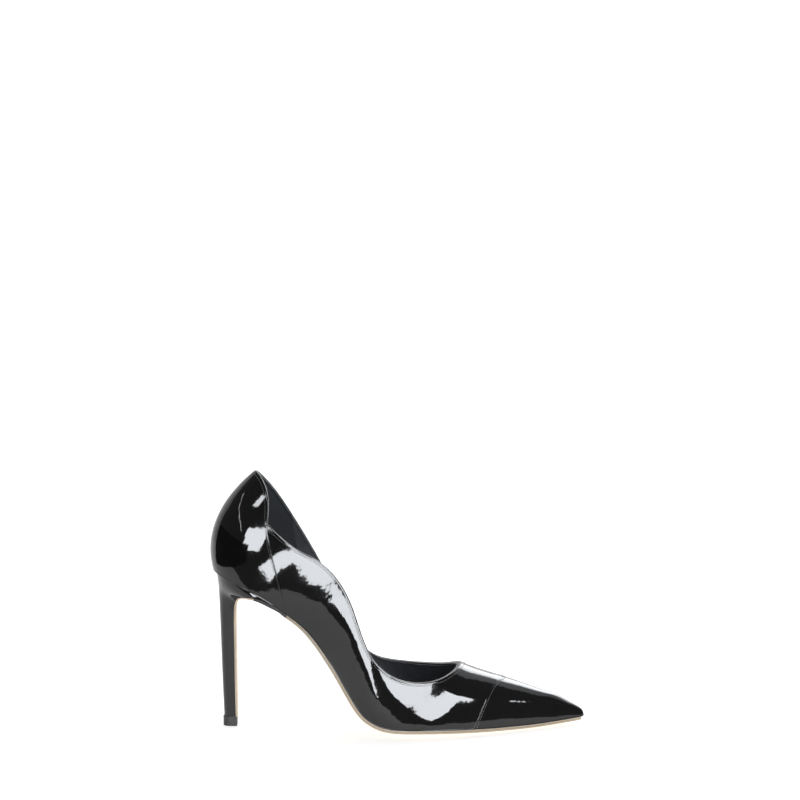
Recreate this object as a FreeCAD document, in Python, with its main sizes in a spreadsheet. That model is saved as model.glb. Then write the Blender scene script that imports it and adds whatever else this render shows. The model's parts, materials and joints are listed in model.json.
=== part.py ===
"""Pointed high heel pump, right shoe, as a FreeCAD document.

Frame: +X to the toe, +Y to the inner side of the foot, +Z up, millimetres. The last is drawn at model size as
four rails on each side (feather edge, belly, shoulder, crown) and graded to the sizes in the sheet. Every leather,
board and pad is a layer of that last, so a layer seats on the next one at any size.
"""

import FreeCAD, Part
import math
import os

import Sketcher
from FreeCAD import Rotation, Vector

doc = FreeCAD.newDocument("pump")

# ---------------------------------------------------------------- sizes
SIZES = [
    ("shoe_length", 234.0, "toe tip to back of heel"),
    ("ball_width", 73.6, "width of the last over the ball"),
    ("seat_height", 100.7, "feather edge above the floor at the back of the heel"),
    ("back_height", 61.0, "back peak above the seat"),
    ("upper_thickness", 1.2, "patent leather"),
    ("stiffening_thickness", 0.6, "puff, stiffener and interlining between upper and lining"),
    ("lining_thickness", 0.8, "lining leather"),
    ("insole_thickness", 2.0, "insole board"),
    ("cushion_thickness", 2.0, "foam under the sock"),
    ("sock_thickness", 0.8, "sock lining"),
    ("margin_width", 11.0, "lasting margin turned under the insole"),
    ("feather_roll", 0.9, "depth of the rolled edge under the feather line"),
    ("sole_thickness", 2.5, "outsole"),
    ("flap_thickness", 1.4, "outsole where it runs down the heel breast"),
    ("sole_inset", 1.3, "outsole edge inside the feather line"),
    ("cover_thickness", 0.6, "leather round the heel"),
    ("top_piece_height", 6.0, "wear piece under the heel"),
    ("top_piece_length", 8.8, "wear piece, front to back"),
    ("top_piece_width", 9.0, "wear piece, side to side"),
    ("tube_diameter", 4.2, "steel tube in the heel stem"),
    ("tube_bore", 2.6, "bore of the tube and of the wear piece"),
    ("tube_length", 62.0, "steel tube"),
    ("dowel_length", 20.0, "steel pin of the wear piece"),
    ("dowel_head", 5.2, "disc moulded into the wear piece"),
    ("dowel_head_height", 1.0, "thickness of that disc"),
    ("dowel_floor", 2.0, "rubber left under the disc"),
    ("pin_gap", 0.05, "radial gap round the pin"),
    ("screw_diameter", 3.6, "heel screw shank"),
    ("screw_length", 20.0, "heel screw under its head"),
    ("screw_head", 7.0, "heel screw head"),
    ("screw_head_height", 1.2, "heel screw head"),
    ("nail_diameter", 1.5, "heel nail"),
    ("nail_length", 9.0, "heel nail under its head"),
    ("nail_head", 3.6, "heel nail head"),
    ("nail_head_height", 0.5, "heel nail head"),
    ("shank_width", 9.0, "steel shank"),
    ("shank_thickness", 1.3, "steel shank"),
    ("rivet_diameter", 3.0, "shank rivet"),
    ("rivet_head", 5.4, "shank rivet head"),
    ("rivet_head_height", 0.5, "shank rivet head"),
    ("tape_width", 5.0, "reinforcing tape along the topline"),
    ("fit_gap", 0.1, "gap between boards, pads and what holds them"),
]

sheet = doc.addObject("Spreadsheet::Sheet", "sizes")
for row, (alias, value, note) in enumerate(SIZES, start=1):
    sheet.set(f"A{row}", note)
    sheet.set(f"B{row}", str(value))
    sheet.setAlias(f"B{row}", alias)
doc.recompute()


def size(alias):
    return float(sheet.get(alias))


# ---------------------------------------------------------------- the last at model size
MODEL_LENGTH = 234.0
MODEL_BALL = 73.6
MODEL_SEAT = 100.7
MODEL_BACK = 61.0
BACK_X = -116.6  # back of the heel, where the graded length starts
FAR = 60.0  # reach of a cutter past the shoe
FLOOR = -20.0  # cutters end this far under the floor

# Centre of the bottom, side view: place along the shoe and height as a share of the seat height.
BOTTOM = [
    (-135.0, 1.095), (-114.0, 1.0), (-97.0, 0.930), (-84.0, 0.858), (-68.0, 0.745), (-58.0, 0.660),
    (-50.0, 0.561), (-35.5, 0.326), (-28.0, 0.191), (-21.0, 0.086), (-14.0, 0.036), (-6.0, 0.008),
    (4.0, 0.0), (40.0, 0.0), (82.0, 0.006), (101.0, 0.016), (130.0, 0.037),
]  # fmt: skip

# Stations round one side, back of the heel to the toe tip. Feather: x, half width outside, half width inside.
# Belly: x, widths, height as a share of the crown's. Shoulder: x, widths, drop below the crown.
# Crown: x, height above the bottom.
STATIONS = [
    # feather              belly                      shoulder                  crown
    ((-114.0, 0.0, 0.0), (-124.5, 0.0, 0.0, 0.37), (-102.0, 0.0, 0.0, 16.0), (-72.0, 93.5)),
    ((-110.3, 12.3, 12.3), (-118.5, 15.5, 15.5, 0.37), (-98.0, 9.0, 9.0, 14.0), (-70.0, 94.0)),
    ((-100.0, 21.2, 21.0), (-105.0, 26.0, 25.5, 0.35), (-88.0, 16.0, 16.0, 11.0), (-67.0, 95.0)),
    ((-86.0, 24.3, 24.1), (-89.0, 29.0, 28.5, 0.33), (-66.0, 26.0, 26.0, 4.0), (-58.0, 96.0)),
    ((-69.0, 22.0, 21.8), (-70.5, 28.5, 28.0, 0.34), (-50.0, 30.0, 30.0, 0.0), (-47.0, 94.0)),
    ((-52.0, 19.4, 18.2), (-53.0, 27.5, 26.5, 0.37), (-38.0, 33.0, 32.0, 0.0), (-36.0, 98.0)),
    ((-38.0, 20.6, 17.6), (-38.0, 28.5, 26.0, 0.40), (-26.0, 34.0, 32.0, 0.0), (-25.0, 98.0)),
    ((-27.0, 26.2, 22.4), (-26.0, 32.0, 28.5, 0.40), (-14.0, 33.0, 31.0, 0.0), (-14.0, 88.0)),
    ((-14.0, 33.0, 28.6), (-13.0, 36.5, 33.0, 0.40), (-3.0, 29.0, 29.0, 0.0), (-3.0, 70.0)),
    ((0.0, 36.2, 32.8), (0.0, 38.0, 35.8, 0.40), (10.0, 24.5, 25.5, 0.0), (10.0, 54.0)),
    ((18.0, 36.8, 35.6), (18.0, 38.0, 37.0, 0.42), (25.0, 20.5, 22.0, 0.0), (25.0, 43.5)),
    ((36.0, 33.6, 34.0), (36.0, 35.6, 36.0, 0.45), (41.0, 19.5, 20.5, 0.0), (41.0, 35.7)),
    ((56.0, 27.2, 28.4), (56.0, 28.9, 30.0, 0.50), (57.0, 16.5, 17.5, 0.0), (57.0, 29.8)),
    ((76.0, 19.4, 20.6), (76.0, 20.6, 21.8, 0.50), (76.0, 12.0, 13.0, 0.0), (76.0, 23.2)),
    ((94.0, 11.8, 12.6), (94.0, 12.6, 13.4, 0.50), (93.0, 7.4, 8.0, 0.0), (93.0, 16.6)),
    ((106.0, 6.7, 7.0), (106.0, 7.3, 7.6, 0.50), (102.5, 4.5, 4.7, 0.2), (102.0, 12.7)),
    ((113.0, 4.0, 4.1), (112.8, 4.4, 4.5, 0.50), (108.5, 2.8, 2.9, 0.5), (107.5, 9.1)),
    ((116.4, 2.2, 2.2), (116.4, 2.4, 2.4, 0.50), (112.4, 1.6, 1.6, 1.0), (110.6, 7.2)),
    ((117.4, 0.0, 0.0), (117.8, 0.0, 0.0, 0.50), (115.4, 0.0, 0.0, 1.7), (112.4, 5.9)),
]  # fmt: skip

WALL_DROP = 4.0  # the wall starts this far under the feather line, so that every layer boundary crosses it
TOE_SWING = 3.0  # the toe point lies this far inward of the heel's centre line
SWING_START = -20.0
SWING_END = 117.4
BELLY_OF_SOLE = 0.0022  # rise of the bottom per square millimetre from its centre line, in the forepart
FLAT_BEHIND = -62.0  # behind this the bottom is flat across
ROUND_BEFORE = -20.0

# Side view lines on the upper, at model size.
TOPLINE_OUTSIDE = [
    (-87.4, 161.2), (-82.6, 156.0), (-80.2, 149.6), (-79.4, 142.0), (-79.9, 132.0), (-69.2, 121.8), (-60.0, 115.2),
    (-52.6, 111.4), (-45.3, 106.5), (-38.6, 99.8), (-29.4, 84.4), (-22.1, 63.3), (-14.1, 47.5), (-1.2, 36.8),
    (13.5, 33.1), (28.4, 34.8), (38.0, 38.6), (50.0, 43.0),
]  # fmt: skip
TOPLINE_NOTCH = 4  # the corner where the back panel meets the wing
TOPLINE_INSIDE = [
    (-87.4, 161.2), (-80.1, 151.4), (-68.1, 132.6), (-55.7, 111.6), (-45.0, 91.5), (-34.0, 66.0), (-24.0, 46.0),
    (-12.0, 37.0), (3.0, 34.2), (20.4, 33.7), (33.0, 35.4), (42.0, 39.6), (52.0, 43.0),
]  # fmt: skip
BACK_SEAM = [
    (-66.0, 68.0), (-69.5, 82.7), (-72.7, 95.6), (-75.3, 106.5), (-78.2, 119.0), (-79.6, 129.0), (-79.5, 134.0),
    (-78.6, 142.0), (-76.0, 175.0),
]  # fmt: skip
LINING_SEAM = [(-58.0, 60.0), (-60.5, 84.0), (-63.0, 105.0), (-65.5, 122.0), (-68.5, 175.0)]
CAP_SEAM_LEAN = 0.44  # forward lean of the cap seam per millimetre of height
CAP_SEAM = [(45.2, 45.0), (45.2, 32.0), (45.3, 25.0), (46.2, 18.0), (48.6, 11.0), (51.4, 5.0), (53.2, 0.0)]
PUFF_BEHIND_CAP = 6.0  # the puff reaches this far behind the cap seam
STIFFENER_AHEAD = 8.0  # the stiffener reaches this far ahead of the back seam

# Heel rings from above the seat down to the wear piece: back x, height as a share of the heel's, tilt in degrees,
# half width, length of the round back.
HEEL_RINGS = [
    (-112.9, 1.045, 28.0, 22.9, 26.0), (-112.8, 0.995, 28.0, 22.8, 26.0), (-112.4, 0.945, 27.0, 21.9, 25.0),
    (-111.9, 0.898, 24.0, 17.8, 20.0), (-111.5, 0.850, 18.0, 11.8, 13.5), (-111.2, 0.792, 10.0, 8.2, 8.6),
    (-110.9, 0.708, 3.0, 6.6, 6.2), (-110.5, 0.570, 0.0, 5.8, 5.4), (-109.6, 0.253, 0.0, 5.0, 4.8),
    (-108.7, 0.0, 0.0, 4.4, 4.4),
]  # fmt: skip
RING_TAPER = 0.004  # share of its width that a ring loses per millimetre ahead of its round back
SEAT_SHARE = (0.7, 0.95)  # between these heights the rings pass from the stem's own size to the graded seat
RING_REACH = 2.5  # a ring runs forward this many times its round back, and is then cut at the breast
# Heel breast, bottom up, as x and share of the heel's height; ahead of the join the outsole lies on the bottom.
BREAST = [
    (-101.4, -0.01), (-101.8, 0.253), (-101.9, 0.517), (-101.8, 0.718), (-100.8, 0.781), (-97.6, 0.828),
    (-92.5, 0.840), (-86.0, 0.830), (-79.0, 0.796),
]  # fmt: skip
BREAST_JOIN = -72.0
HEEL_FRONT = -74.5  # the heel's lip thins out here
LIP_LEATHER = 3.0  # the last of the lip is leather without a core
STEM_AXIS = -104.8  # place of the tube and the wear piece's pin
SCREW_AXIS = -105.2
NAILS = [(-108.5, 6.8), (-98.0, 12.5), (-108.5, -6.8), (-98.0, -12.5)]
SHANK_BACK, SHANK_FRONT = -92.0, -14.0
RIVETS = [-82.0, -26.0]


# ---------------------------------------------------------------- curves and surfaces
def hermite(table, x):
    """Height at x of the smooth curve through a table of points."""
    xs = [p[0] for p in table]
    ys = [p[1] for p in table]
    last = len(xs) - 2
    i = min(max(sum(1 for v in xs if v <= x) - 1, 0), last)
    slopes = [(ys[k + 1] - ys[k]) / (xs[k + 1] - xs[k]) for k in range(len(xs) - 1)]

    def tangent(k):
        if k == 0 or k == len(xs) - 1:
            return slopes[min(k, last)]
        a, b = slopes[k - 1], slopes[k]
        return 0.0 if a * b <= 0 else 2 * a * b / (a + b)

    step = xs[i + 1] - xs[i]
    t = (x - xs[i]) / step
    return (
        (1 + 2 * t) * (1 - t) ** 2 * ys[i]
        + t * (1 - t) ** 2 * step * tangent(i)
        + t * t * (3 - 2 * t) * ys[i + 1]
        + t * t * (t - 1) * step * tangent(i + 1)
    )


def ease(x, start, end):
    t = min(max((x - start) / (end - start), 0.0), 1.0)
    return t * t * (3 - 2 * t)


LENGTH_GRADE = size("shoe_length") / MODEL_LENGTH
WIDTH_GRADE = size("ball_width") / MODEL_BALL
HEIGHT_GRADE = size("back_height") / MODEL_BACK
STACK = size("sole_thickness") + size("feather_roll")  # feather line above the floor under the ball
MARGIN = size("upper_thickness") + size("stiffening_thickness") + size("lining_thickness")


def along(x):
    """A place along the model shoe, graded to length."""
    return BACK_X + (x - BACK_X) * LENGTH_GRADE


def model_x(x):
    return BACK_X + (x - BACK_X) / LENGTH_GRADE


def bottom(x):
    """Height of the bottom's centre line at a graded x."""
    return STACK + (size("seat_height") - STACK) * hermite(BOTTOM, model_x(x))


def above_bottom(x, z):
    """A side view point of the model, graded: its height over the bottom grades with the back height."""
    model = STACK + (MODEL_SEAT - STACK) * hermite(BOTTOM, x)
    return Vector(along(x), 0, bottom(along(x)) + (z - model) * HEIGHT_GRADE)


def centre(x):
    """The last's centre line in plan: it swings inward at the toe."""
    start, end = along(SWING_START), along(SWING_END)
    return TOE_SWING * (max(x - start, 0.0) / (end - start)) ** 2


def crown_across(x):
    return BELLY_OF_SOLE * ease(x, along(FLAT_BEHIND), along(ROUND_BEFORE))


def on_bottom(x, y):
    return Vector(x, y, bottom(x) + crown_across(x) * (y - centre(x)) ** 2)


def chords(points):
    total = [0.0]
    for a, b in zip(points, points[1:]):
        total.append(total[-1] + max((b - a).Length, 1e-3))
    return [t / total[-1] for t in total]


def spline(points, params=None):
    curve = Part.BSplineCurve()
    curve.interpolate(Points=points, Parameters=params or chords(points))
    return curve


def half_loop(points, params=None):
    """Spline round one side that meets its mirror image squarely at both ends."""
    params = params or chords(points)
    first, last = points[0], points[-1]
    back = [Vector(p.x, 2 * first.y - p.y, p.z) for p in points[2:0:-1]]
    front = [Vector(p.x, 2 * last.y - p.y, p.z) for p in points[-2:-4:-1]]
    times = [-params[2], -params[1]] + params + [2 - params[-2], 2 - params[-3]]
    curve = spline(back + points + front, times)
    curve.segment(0.0, 1.0)
    return curve


def open_line(points, params):
    """Spline with the same knots as half_loop for a line that stays on the centre."""
    first, last = points[0], points[-1]
    back = [first * 2 - p for p in points[2:0:-1]]
    front = [last * 2 - p for p in points[-2:-4:-1]]
    times = [-params[2], -params[1]] + params + [2 - params[-2], 2 - params[-3]]
    curve = spline(back + points + front, times)
    curve.segment(0.0, 1.0)
    return curve


def surface_of_poles(poles, v_curve, u_curve=None):
    """Surface over rows of poles: along v with one curve's knots, across them ruled or with another's."""
    surface = Part.BSplineSurface()
    if u_curve:
        u_mults, u_knots, u_degree = u_curve.getMultiplicities(), u_curve.getKnots(), 3
    else:
        degree = len(poles) - 1
        u_mults, u_knots, u_degree = [degree + 1] * 2, [0.0, 1.0], degree
    surface.buildFromPolesMultsKnots(
        poles, u_mults, v_curve.getMultiplicities(), u_knots, v_curve.getKnots(), False, False, u_degree, 3
    )
    return surface


def smooth_surface(rows, along_times=None, across_times=None):
    """A surface through a grid of points."""
    along_times = along_times or chords(rows[len(rows) // 2])
    across_times = across_times or chords([row[len(row) // 2] for row in rows])
    curves = [spline(row, along_times) for row in rows]
    columns = zip(*[c.getPoles() for c in curves])
    ribs = [spline(list(column), across_times) for column in columns]
    poles = [list(row) for row in zip(*[rib.getPoles() for rib in ribs])]
    return surface_of_poles(poles, curves[0], ribs[0])


def ruled(curve_a, curve_b):
    """Straight-lined face between two curves with the same knots."""
    return surface_of_poles([curve_a.getPoles(), curve_b.getPoles()], curve_a).toShape()


def solid_of(faces):
    shell = Part.Shell(faces)
    if not shell.isClosed():
        shell.sewShape()
    solid = Part.Solid(shell)
    if solid.Volume < 0:
        solid.reverse()
    return solid


def largest(shape):
    return max(shape.Solids, key=lambda s: s.Volume)


# ---------------------------------------------------------------- the graded last
def rails(side):
    """Control points of the outside of the upper on one side, as four rows from feather to crown."""
    which, sign = (1, -1) if side == "outside" else (2, 1)
    rows = [[], [], [], []]
    for foot, belly, shoulder, crown in STATIONS:
        top_x = along(crown[0])
        top = Vector(top_x, centre(top_x), bottom(top_x) + crown[1] * HEIGHT_GRADE)
        x = along(foot[0])
        low = on_bottom(x, centre(x) + sign * foot[which] * WIDTH_GRADE)
        x = along(belly[0])
        mid = Vector(x, centre(x) + sign * belly[which] * WIDTH_GRADE, low.z + belly[3] * (top.z - low.z))
        low.z -= WALL_DROP
        x = along(shoulder[0])
        high = Vector(x, centre(x) + sign * shoulder[which] * WIDTH_GRADE, top.z - shoulder[3])
        for row, point in zip(rows, (low, mid, high, top)):
            row.append(point)
    return rows


def rail_surface(rows):
    """Wall of one side: a cubic from feather to crown, carried along the four rails."""
    curves = [half_loop(row, PARAMS) for row in rows[:3]] + [open_line(rows[3], PARAMS)]
    return surface_of_poles([c.getPoles() for c in curves], curves[0])


SIDES = {"outside": -1, "inside": 1}
RAILS = {side: rails(side) for side in SIDES}
PARAMS = chords([(a + b) * 0.5 for a, b in zip(RAILS["outside"][0], RAILS["outside"][2])])
WALLS = {side: rail_surface(RAILS[side]) for side in SIDES}


def moved_rails(depth):
    """Both sides' rails moved inward by a depth along the wall's normals, sharing their centre line points."""
    moved = {}
    for side, sign in SIDES.items():
        moved[side] = []
        for k, row in enumerate(RAILS[side]):
            u = min(max(k / 3.0, 0.01), 0.99)
            line = []
            for point, v in zip(row, PARAMS):
                inward = WALLS[side].normal(u, min(max(v, 0.004), 0.996)) * -sign
                line.append(point + inward.normalize() * depth)
            moved[side].append(line)
    outside, inside = moved["outside"], moved["inside"]
    last = len(PARAMS) - 1
    for k in range(4):
        for i in range(last + 1):
            if k == 3 or i in (0, last):
                shared = (outside[k][i] + inside[k][i]) * 0.5
                outside[k][i] = inside[k][i] = shared
    return moved


def last_body(depth):
    """The closed last whose wall lies at a depth inside the upper's outer face, run straight down to the floor."""
    faces, foot_edges = [], []
    moved = moved_rails(depth) if depth else RAILS
    for side in SIDES:
        wall = rail_surface(moved[side])
        faces.append(wall.toShape())
        edge_of_wall = wall.uIso(0.0)
        foot = edge_of_wall.copy()
        for k, pole in enumerate(foot.getPoles(), start=1):
            foot.setPole(k, Vector(pole.x, pole.y, FLOOR))
        faces.append(ruled(foot, edge_of_wall))
        foot_edges.append(foot.toShape())
    faces.append(Part.Face(Part.Wire(foot_edges)))
    return solid_of(faces)


def inset_side(side, inset):
    """Feather line of one side moved in by an inset, as plan points from back to toe."""
    sign = SIDES[side]
    row = RAILS[side][0]
    curve = half_loop(row, PARAMS)
    kept = []
    for v in PARAMS[1:-1]:
        point, along_edge = curve.value(v), curve.tangent(v)[0]
        inward = Vector(along_edge.y, -along_edge.x, 0) * sign
        moved = point + inward.normalize() * inset
        clear = (moved.y - centre(moved.x)) * sign > max(0.6, inset * 0.25)
        if clear and moved.x < row[-1].x - inset * 1.5:
            kept.append(Vector(moved.x, moved.y, FLOOR))
    first, last = kept[0], kept[-1]
    back_x = max(row[0].x + inset, first.x - abs(first.y) * 0.8)
    tip_x = min(row[-1].x - inset * 1.3, last.x + abs(last.y - centre(last.x)) * 1.5)
    return [Vector(back_x, centre(back_x), FLOOR)] + kept + [Vector(tip_x, centre(tip_x), FLOOR)]


def plan_prism(inset):
    """Upright prism on the feather line, moved in by an inset."""
    ends = [inset_side(side, inset) for side in SIDES]
    back_x = sum(line[0].x for line in ends) / 2
    tip_x = sum(line[-1].x for line in ends) / 2
    edges = []
    for line in ends:
        line[0] = Vector(back_x, centre(back_x), FLOOR)
        line[-1] = Vector(tip_x, centre(tip_x), FLOOR)
        edges.append(half_loop(line).toShape())
    return Part.Face(Part.Wire(edges)).extrude(Vector(0, 0, 260))


# ---------------------------------------------------------------- the layers of the bottom
PATH_X = [along(x) for x in (-135, -114, -100, -86, -79, -72, -69, -65, -58, -50, -43, -36, -30, -25, -20, -15, -9, 0, 12, 30,
                             50, 70, 90, 110, 130)]  # fmt: skip
ACROSS = [-50.0, -34.0, -17.0, 0.0, 17.0, 34.0, 50.0]
ACROSS_TIMES = [(y - ACROSS[0]) / (ACROSS[-1] - ACROSS[0]) for y in ACROSS]


def bottom_normal(x):
    step = 0.25
    slope = (bottom(x + step) - bottom(x - step)) / (2 * step)
    return Vector(-slope, 0, 1).normalize()


def level_profile(level):
    """Side view of the layer boundary that lies a distance below the feather line, along the bottom's normal."""
    return [Vector(x, 0, bottom(x)) - bottom_normal(x) * level for x in PATH_X]


def level_rows(points):
    rows = []
    for y in ACROSS:
        rows.append([Vector(p.x, y, p.z + crown_across(p.x) * (y - centre(p.x)) ** 2) for p in points])
    return rows


def over_level(level):
    """Everything above a layer boundary."""
    face = smooth_surface(level_rows(level_profile(level))).toShape()
    return face.extrude(Vector(0, 0, 260))


# ---------------------------------------------------------------- cutters drawn in side view
def side_prism(points, side, corner=None):
    """Prism along Y over a closed outline; the first points form one smooth run, or two with a corner."""
    runs, closing = points
    pieces = [runs[: corner + 1], runs[corner:]] if corner else [runs]
    edges = [spline(piece).toShape() for piece in pieces]
    path = [runs[-1]] + closing + [runs[0]]
    edges += [Part.LineSegment(a, b).toShape() for a, b in zip(path, path[1:])]
    face = Part.Face(Part.Wire(edges))
    reach = {"outside": -FAR, "inside": FAR}
    if side in reach:
        return face.extrude(Vector(0, reach[side], 0))
    face.translate(Vector(0, -FAR, 0))
    return face.extrude(Vector(0, 2 * FAR, 0))


def over_topline(lower=0.0):
    """What lies above the topline, or above a line the given distance under it."""
    parts = []
    for side, line, corner in (
        ("outside", TOPLINE_OUTSIDE, TOPLINE_NOTCH),
        ("inside", TOPLINE_INSIDE, None),
    ):
        run = [above_bottom(x, z) for x, z in line]
        if lower:
            run = [p + Vector(-lower * 0.6, 0, -lower * 0.8) for p in run]
        high = max(p.z for p in run) + 60
        back = run[0] + Vector(-12, 0, 4)
        closing = [Vector(run[-1].x, 0, high), Vector(back.x, 0, high), back]
        parts.append(side_prism((run, closing), side, corner))
    return parts[0].fuse(parts[1])


def behind_line(line, shift=0.0):
    """What lies behind a seam drawn in side view."""
    run = [above_bottom(x, z) + Vector(shift, 0, 0) for x, z in line]
    back = run[0].x - 90
    closing = [Vector(back, 0, run[-1].z), Vector(back, 0, FLOOR), Vector(run[0].x, 0, FLOOR)]
    return side_prism((run, closing), "both")


def ahead_of_cap_seam(shift=0.0):
    """What lies ahead of the toe cap's seam: bowed forward over the top and leaning forward."""
    half = [(along(x) + shift, y * WIDTH_GRADE) for x, y in CAP_SEAM]
    mid = centre(along(60.0))
    outside = [Vector(x + CAP_SEAM_LEAN * FLOOR, mid - y, FLOOR) for x, y in half]
    inside = [Vector(p.x, 2 * mid - p.y, FLOOR) for p in reversed(outside[:-1])]
    run = outside + inside
    front = along(140.0)
    corners = [run[-1], Vector(front, run[-1].y, FLOOR), Vector(front, run[0].y, FLOOR), run[0]]
    edges = [spline(run).toShape()] + [Part.LineSegment(a, b).toShape() for a, b in zip(corners, corners[1:])]
    return Part.Face(Part.Wire(edges)).extrude(Vector(CAP_SEAM_LEAN * 120, 0, 120))


# ---------------------------------------------------------------- leathers, boards and pads
def layer(outer_depth, inner_depth, outer_level, inner_level):
    """The skin between two depths, wrapped under the bottom between two levels."""
    outer = last_body(outer_depth).common(over_level(outer_level))
    inner = last_body(inner_depth).common(over_level(inner_level))
    return outer.cut(inner)


def bottom_layer(depth, low, high):
    """A sheet inside the last between two levels."""
    return last_body(depth).common(over_level(low)).cut(over_level(high))


DEPTHS = [0.0, size("upper_thickness"), size("upper_thickness") + size("stiffening_thickness"), MARGIN]
MARGIN_LOW = size("feather_roll")
MARGIN_TOP = MARGIN_LOW - MARGIN
INSOLE_TOP = MARGIN_TOP - size("insole_thickness")
CUSHION_TOP = INSOLE_TOP - size("cushion_thickness")
SOCK_TOP = CUSHION_TOP - size("sock_thickness")

SHAPES = {}
mouth = over_topline()
window = plan_prism(size("margin_width"))
window = window.cut(over_level(MARGIN_TOP))
cap_zone = ahead_of_cap_seam()
back_zone = behind_line(BACK_SEAM)


def trimmed(shape):
    return shape.cut(mouth).cut(window)


upper = trimmed(layer(DEPTHS[0], DEPTHS[1], MARGIN_LOW, MARGIN_LOW - DEPTHS[1]))
SHAPES["toe_cap"] = upper.common(cap_zone)
SHAPES["counter_panel"] = upper.common(back_zone)
SHAPES["vamp"] = upper.cut(cap_zone).cut(back_zone)

stiffening = trimmed(layer(DEPTHS[1], DEPTHS[2], MARGIN_LOW - DEPTHS[1], MARGIN_LOW - DEPTHS[2]))
puff_zone = ahead_of_cap_seam(-PUFF_BEHIND_CAP)
stiffener_zone = behind_line(BACK_SEAM, STIFFENER_AHEAD)
under_tape = over_topline(size("tape_width"))
SHAPES["toe_puff"] = stiffening.common(puff_zone)
rest = stiffening.cut(puff_zone)
SHAPES["topline_tape"] = rest.common(under_tape)
rest = rest.cut(under_tape)
SHAPES["heel_stiffener"] = rest.common(stiffener_zone)
SHAPES["interlining"] = rest.cut(stiffener_zone)

lining = trimmed(layer(DEPTHS[2], DEPTHS[3], MARGIN_LOW - DEPTHS[2], MARGIN_TOP))
grip_zone = behind_line(LINING_SEAM)
SHAPES["heel_lining"] = lining.common(grip_zone)
SHAPES["vamp_lining"] = lining.cut(grip_zone)



# ---------------------------------------------------------------- heel
def heel_z(share):
    return size("top_piece_height") + share * (size("seat_height") - size("top_piece_height"))


def heel_funnel(inset):
    """The heel's round back and sides as a closed solid that runs far forward."""
    rows = []
    for back, share, tilt, half, rounding in HEEL_RINGS:
        seat = ease(share, *SEAT_SHARE)
        half = half * (1 + seat * (WIDTH_GRADE - 1)) - inset
        rounding = rounding * (1 + seat * (LENGTH_GRADE - 1)) - inset
        lean = Vector(math.cos(math.radians(tilt)), 0, -math.sin(math.radians(tilt)))
        start = Vector(along(back) + inset, 0, heel_z(share))
        side = []
        for degrees in (0.0, 22.5, 45.0, 67.5, 90.0):
            turn = math.radians(degrees)
            side.append((rounding * (1 - math.cos(turn)), half * math.sin(turn)))
        for part in (0.3, 0.65, 1.0):
            ahead = (RING_REACH - 1) * rounding * part
            side.append((rounding + ahead, half * (1 - RING_TAPER * ahead)))
        near = [start + lean * x + Vector(0, -y, 0) for x, y in side]
        far = [Vector(p.x, -p.y, p.z) for p in near[1:]]
        rows.append(near[::-1] + far)
    wall = smooth_surface(rows)
    faces = [wall.toShape()]
    ends = [wall.uIso(0.0), wall.uIso(1.0)]
    corners = [wall.vIso(0.0), wall.vIso(1.0)]
    for end in ends:
        closing = Part.LineSegment(end.EndPoint, end.StartPoint)
        faces.append(Part.Face(Part.Wire([end.toShape(), closing.toShape()])))
    faces.append(ruled(*corners))
    return solid_of(faces)


def sole_path():
    """Side view of the outsole's upper face: up the heel breast, then along the bottom to the toe."""
    breast = [Vector(along(x), 0, heel_z(share)) for x, share in BREAST]
    return breast + [p for p in level_profile(MARGIN_LOW) if p.x >= along(BREAST_JOIN) - 1.0]


def sole_sheet():
    """The outsole before it is cut to shape, wider than the shoe."""
    path = sole_path()
    lower = []
    for i, point in enumerate(path):
        before, after = path[max(i - 1, 0)], path[min(i + 1, len(path) - 1)]
        run = (after - before).normalize()
        share = ease(point.x, along(-96.0), along(-62.0))
        thick = size("flap_thickness") + share * (size("sole_thickness") - size("flap_thickness"))
        lower.append(point + Vector(run.z, 0, -run.x) * thick)
    times = chords(path)
    top = smooth_surface(level_rows(path), times, ACROSS_TIMES)
    low = smooth_surface(level_rows(lower), times, ACROSS_TIMES)
    faces = [top.toShape(), low.toShape()]
    for end in (0.0, 1.0):
        faces.append(ruled(top.uIso(end), low.uIso(end)))
        faces.append(ruled(top.vIso(end), low.vIso(end)))
    return solid_of(faces)


def box(x0, x1, y0, y1, z0, z1):
    return Part.makeBox(x1 - x0, y1 - y0, z1 - z0, Vector(x0, y0, z0))


def breast_prism():
    """What lies ahead of and below the heel breast."""
    run = [p for p in sole_path() if p.x < along(-56.0)]
    closing = [Vector(run[-1].x, 0, FLOOR), Vector(run[0].x, 0, FLOOR)]
    return side_prism((run, closing), "both")


def behind(shape, x):
    return shape.cut(box(along(x), along(0.0), -FAR, FAR, FLOOR, 200))


def over_breast(shape):
    return shape.cut(breast_prism()).cut(over_level(MARGIN_LOW))


heel_outside = behind(heel_funnel(0.0), HEEL_FRONT)
heel_inside = behind(heel_funnel(size("cover_thickness")), HEEL_FRONT - LIP_LEATHER)
SHAPES["heel_cover"] = over_breast(heel_outside.cut(heel_inside))
SHAPES["heel_core"] = over_breast(heel_inside)

join = along(BREAST_JOIN)
fore = plan_prism(size("sole_inset")).common(box(join, along(140.0), -FAR, FAR, FLOOR, 200))
rear = heel_funnel(0.0).common(box(along(-130.0), join, -FAR, FAR, FLOOR, 200))
sheet_of_sole = sole_sheet()
outsole = sheet_of_sole.common(fore).fuse(sheet_of_sole.common(rear))
SHAPES["outsole"] = outsole.cut(box(along(-130.0), along(-80.0), -FAR, FAR, FLOOR, size("top_piece_height")))



# ---------------------------------------------------------------- turned and moulded small parts
def plane(body, role):
    return next(f for f in body.Origin.OriginFeatures if f.Role == role)


def new_sketch(body, name, role):
    sketch = body.newObject("Sketcher::SketchObject", name)
    sketch.AttachmentSupport = [(plane(body, role), "")]
    sketch.MapMode = "FlatFace"
    return sketch


def bind(sketch, constraint, name, formula):
    index = sketch.addConstraint(constraint)
    sketch.renameConstraint(index, name)
    sketch.setExpression(f"Constraints.{name}", formula)


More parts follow.
